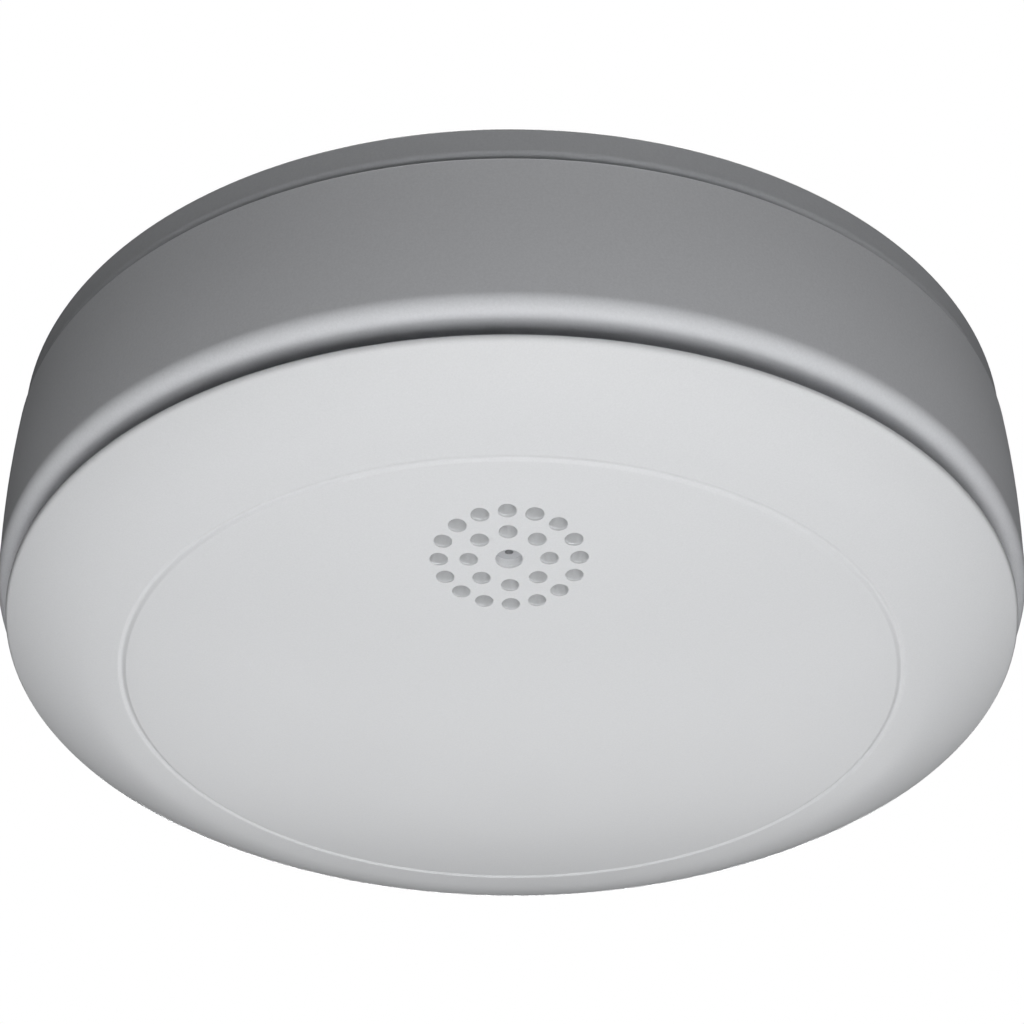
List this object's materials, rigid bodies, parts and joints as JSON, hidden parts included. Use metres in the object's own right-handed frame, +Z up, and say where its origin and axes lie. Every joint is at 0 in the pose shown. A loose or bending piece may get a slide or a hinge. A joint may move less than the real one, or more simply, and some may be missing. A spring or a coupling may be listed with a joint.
{
  "type": "smoke detector",
  "caption": "Round ceiling smoke detector: twist-on plate, housing, and a floating domed front cover with an off-centre ring-pattern sounder grille; pressing the cover runs the test.",
  "frame": {"origin": "centre of the mounting plate's ceiling face", "axes": "+Z up into the ceiling, so the detector hangs below z = 0; -Y towards the sounder grille"},
  "size_m": [0.1206, 0.1206, 0.036],
  "materials": {
    "cover_white": "satin-gloss moulded plastic, cool white",
    "housing_white": "fine spark-eroded texture, cool white",
    "plate_white": "fine spark-eroded texture, cool white",
    "chamber_black": "deep matt black",
    "horn_grey": "matt grey",
    "board_green": "solder mask over glass laminate",
    "chip_black": "moulded epoxy with tinned legs",
    "ceramic_tan": "sintered chip bodies",
    "capacitor_can": "sleeved cans",
    "ferrite_grey": "ferrite and enamelled wire",
    "led_red": "tinted epoxy",
    "switch_body": "moulded",
    "plunger_black": "moulded",
    "cell_sleeve": "shrink sleeve over a steel can",
    "nickel_strip": "rolled nickel",
    "screw_steel": "zinc plated",
    "spring_steel": "drawn wire",
    "screen_steel": "woven wire cloth",
    "emitter_lens": "clear blue-tinted epoxy",
    "diode_lens": "dark filter epoxy",
    "gasket_rubber": "soft foam rubber",
    "piezo_brass": "rolled brass disc",
    "piezo_ceramic": "fired ceramic with silvered face",
    "pipe_clear": "clear polished acrylic",
    "label_paper": "blank label"
  },
  "bodies": {
    "ceiling_plate": {"mounting_plate": "plate_white"},
    "detector": {"back_cover": "housing_white", "case_screws": "screw_steel", "rating_label": "label_paper", "housing_shell": "housing_white", "circuit_board": "board_green", "board_screws": "screw_steel", "microcontroller": "chip_black", "smd_parts": "ceramic_tan", "capacitors": "capacitor_can", "boost_coil": "ferrite_grey", "status_led": "led_red", "test_switch": "switch_body", "battery_cell": "cell_sleeve", "battery_tabs": "nickel_strip", "chamber_base": "chamber_black", "chamber_cap": "chamber_black", "insect_screen": "screen_steel", "ir_emitter": "emitter_lens", "photodiode": "diode_lens", "horn_cup": "horn_grey", "horn_lid": "horn_grey", "horn_gasket": "gasket_rubber", "piezo_disc": "piezo_brass", "piezo_ceramic": "piezo_ceramic", "cover_springs": "spring_steel"},
    "cover": {"front_cover": "cover_white", "light_pipe": "pipe_clear"},
    "plunger": {"switch_plunger": "plunger_black"}
  },
  "joints": [
    {"name": "twist_off", "type": "hinge", "parent": "ceiling_plate", "child": "detector", "pos_m": [0, 0, 0], "axis": [0, 0, -1], "range_deg": [0, 15]},
    {"name": "cover_press", "type": "slide", "parent": "detector", "child": "cover", "axis": [0, 0, 1], "range_m": [0, 0.0006], "stiffness_N_per_m": 3000, "springref_m": -0.0015, "deforming": ["cover_springs"]},
    {"name": "plunger_press", "type": "slide", "parent": "detector", "child": "plunger", "axis": [0, 0, 1], "range_m": [0, 0.0006]}
  ],
  "couplings": [
    {"joint": "plunger_press", "follows": "cover_press", "ratio": 1}
  ]
}
